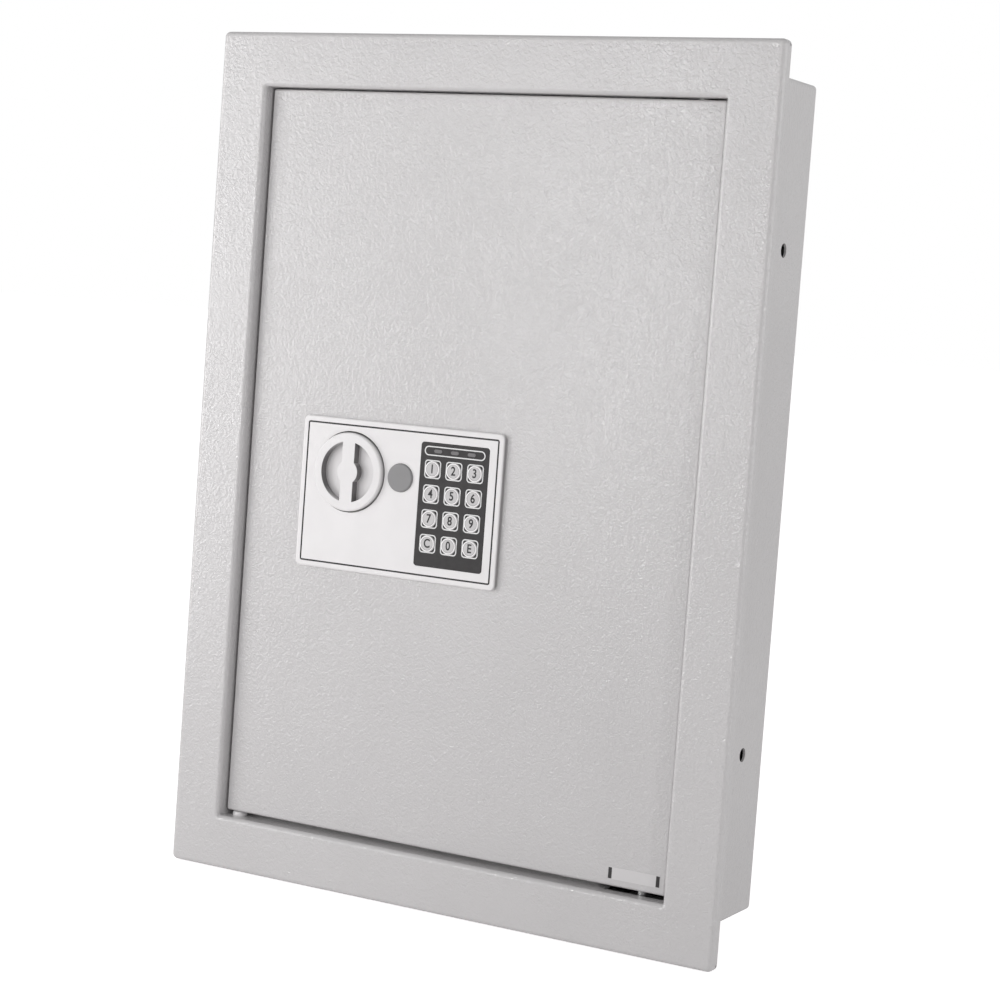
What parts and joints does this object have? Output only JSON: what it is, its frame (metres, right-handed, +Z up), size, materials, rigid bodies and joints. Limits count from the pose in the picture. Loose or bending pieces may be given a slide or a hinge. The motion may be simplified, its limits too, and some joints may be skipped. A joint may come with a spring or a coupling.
{
  "type": "flat electronic wall safe",
  "caption": "Shallow wall safe: flanged steel cabinet, recessed hinged door with keypad panel, turning knob, override lock cover, locking bolts and shelves.",
  "frame": {"origin": "bottom centre of the bounding box, under the middle of the safe's width and depth", "axes": "+Z up, +Y into the wall, +X to the right when facing the door; the flange's front face is at the low Y end"},
  "size_m": [0.402, 0.104, 0.561],
  "materials": {
    "cabinet_paint": "light grey textured powder coat",
    "door_paint": "light grey textured powder coat",
    "shelf_paint": "light grey powder coat",
    "zinc_steel": "zinc plated",
    "polished_steel": "polished",
    "brass": "satin",
    "copper_coil": "taped winding",
    "white_plastic": "fine matte",
    "black_plastic": "fine matte",
    "grey_plastic": "satin",
    "led_lens": "clear grey",
    "red_plastic": "gloss",
    "nylon": "natural",
    "rubber": "matte",
    "circuit_green": "solder mask",
    "cable": "flat ribbon",
    "battery_skin": "plain sleeve",
    "label": "blank paper"
  },
  "bodies": {
    "cabinet": {"face_frame": "cabinet_paint", "body_shell": "cabinet_paint", "door_stops": "cabinet_paint", "door_bumpers": "rubber", "hinge_brackets": "cabinet_paint", "hinge_pins": "polished_steel", "door_rest_button": "white_plastic", "shelf_upper": "shelf_paint", "shelf_lower": "shelf_paint", "shelf_brackets": "shelf_paint"},
    "door": {"base_standoffs": "zinc_steel", "batteries": "battery_skin", "battery_tray": "black_plastic", "bezel_screws": "zinc_steel", "blank_label": "label", "bolt_guide": "zinc_steel", "circuit_board": "circuit_green", "cover_screws": "zinc_steel", "cylinder_nut": "zinc_steel", "door_panel": "door_paint", "door_stiffeners": "door_paint", "guide_posts": "zinc_steel", "hinge_bushes": "nylon", "key_cylinder": "brass", "keypad_board": "circuit_green", "keypad_cable": "cable", "keypad_plate": "black_plastic", "led_lenses": "led_lens", "lock_base_plate": "zinc_steel", "lock_cover": "black_plastic", "panel_bezel": "white_plastic", "plunger_spring": "zinc_steel", "solenoid_coil": "copper_coil", "solenoid_frame": "zinc_steel", "spindle_bush": "brass"},
    "knob_assembly": {"knob": "white_plastic", "knob_spindle": "polished_steel", "crank_disc": "zinc_steel"},
    "bolt_assembly": {"bolt_carriage": "zinc_steel", "locking_bolts": "polished_steel"},
    "plunger": {"solenoid_plunger": "polished_steel"},
    "key_plug_assembly": {"key_plug": "brass", "key_cam": "zinc_steel"},
    "override_cover": {"override_cap": "grey_plastic"},
    "reset": {"reset_button": "red_plastic"},
    "battery_cover": {"battery_door": "black_plastic"},
    "button_1": {"key_1": "grey_plastic"},
    "button_2": {"key_2": "grey_plastic"},
    "button_3": {"key_3": "grey_plastic"},
    "button_4": {"key_4": "grey_plastic"},
    "button_5": {"key_5": "grey_plastic"},
    "button_6": {"key_6": "grey_plastic"},
    "button_7": {"key_7": "grey_plastic"},
    "button_8": {"key_8": "grey_plastic"},
    "button_9": {"key_9": "grey_plastic"},
    "button_clear": {"key_clear": "grey_plastic"},
    "button_0": {"key_0": "grey_plastic"},
    "button_enter": {"key_enter": "grey_plastic"}
  },
  "joints": [
    {"name": "door_hinge", "type": "hinge", "parent": "cabinet", "child": "door", "pos_m": [0.145, -0.037, 0.2805], "axis": [0, 0, 1], "range_deg": [0, 110]},
    {"name": "knob_turn", "type": "hinge", "parent": "door", "child": "knob_assembly", "pos_m": [-0.0824, -0.047, 0.277], "axis": [0, -1, 0], "range_deg": [0, 90]},
    {"name": "bolt_slide", "type": "slide", "parent": "door", "child": "bolt_assembly", "axis": [-1, 0, 0], "range_m": [0, 0.018]},
    {"name": "solenoid_slide", "type": "slide", "parent": "door", "child": "plunger", "axis": [0, 0, -1], "range_m": [0, 0.008], "deforming": ["plunger_spring"]},
    {"name": "key_turn", "type": "hinge", "parent": "door", "child": "key_plug_assembly", "pos_m": [-0.0437, -0.04, 0.2769], "axis": [0, -1, 0], "range_deg": [0, 90]},
    {"name": "override_cover_lift", "type": "slide", "parent": "door", "child": "override_cover", "axis": [0, -1, 0], "range_m": [0, 0.025]},
    {"name": "reset_press", "type": "slide", "parent": "door", "child": "reset", "axis": [0, -1, 0], "range_m": [0, 0.002]},
    {"name": "battery_cover_lift", "type": "slide", "parent": "door", "child": "battery_cover", "axis": [0, 1, 0], "range_m": [0, 0.015]},
    {"name": "press_1", "type": "slide", "parent": "door", "child": "button_1", "axis": [0, 1, 0], "range_m": [0, 0.0008]},
    {"name": "press_2", "type": "slide", "parent": "door", "child": "button_2", "axis": [0, 1, 0], "range_m": [0, 0.0008]},
    {"name": "press_3", "type": "slide", "parent": "door", "child": "button_3", "axis": [0, 1, 0], "range_m": [0, 0.0008]},
    {"name": "press_4", "type": "slide", "parent": "door", "child": "button_4", "axis": [0, 1, 0], "range_m": [0, 0.0008]},
    {"name": "press_5", "type": "slide", "parent": "door", "child": "button_5", "axis": [0, 1, 0], "range_m": [0, 0.0008]},
    {"name": "press_6", "type": "slide", "parent": "door", "child": "button_6", "axis": [0, 1, 0], "range_m": [0, 0.0008]},
    {"name": "press_7", "type": "slide", "parent": "door", "child": "button_7", "axis": [0, 1, 0], "range_m": [0, 0.0008]},
    {"name": "press_8", "type": "slide", "parent": "door", "child": "button_8", "axis": [0, 1, 0], "range_m": [0, 0.0008]},
    {"name": "press_9", "type": "slide", "parent": "door", "child": "button_9", "axis": [0, 1, 0], "range_m": [0, 0.0008]},
    {"name": "press_clear", "type": "slide", "parent": "door", "child": "button_clear", "axis": [0, 1, 0], "range_m": [0, 0.0008]},
    {"name": "press_0", "type": "slide", "parent": "door", "child": "button_0", "axis": [0, 1, 0], "range_m": [0, 0.0008]},
    {"name": "press_enter", "type": "slide", "parent": "door", "child": "button_enter", "axis": [0, 1, 0], "range_m": [0, 0.0008]}
  ],
  "couplings": [
    {"joint": "knob_turn", "follows": "bolt_slide", "rad_per_m": 87.266},
    {"joint": "solenoid_slide", "follows": "bolt_slide", "ratio": 0.44444}
  ]
}
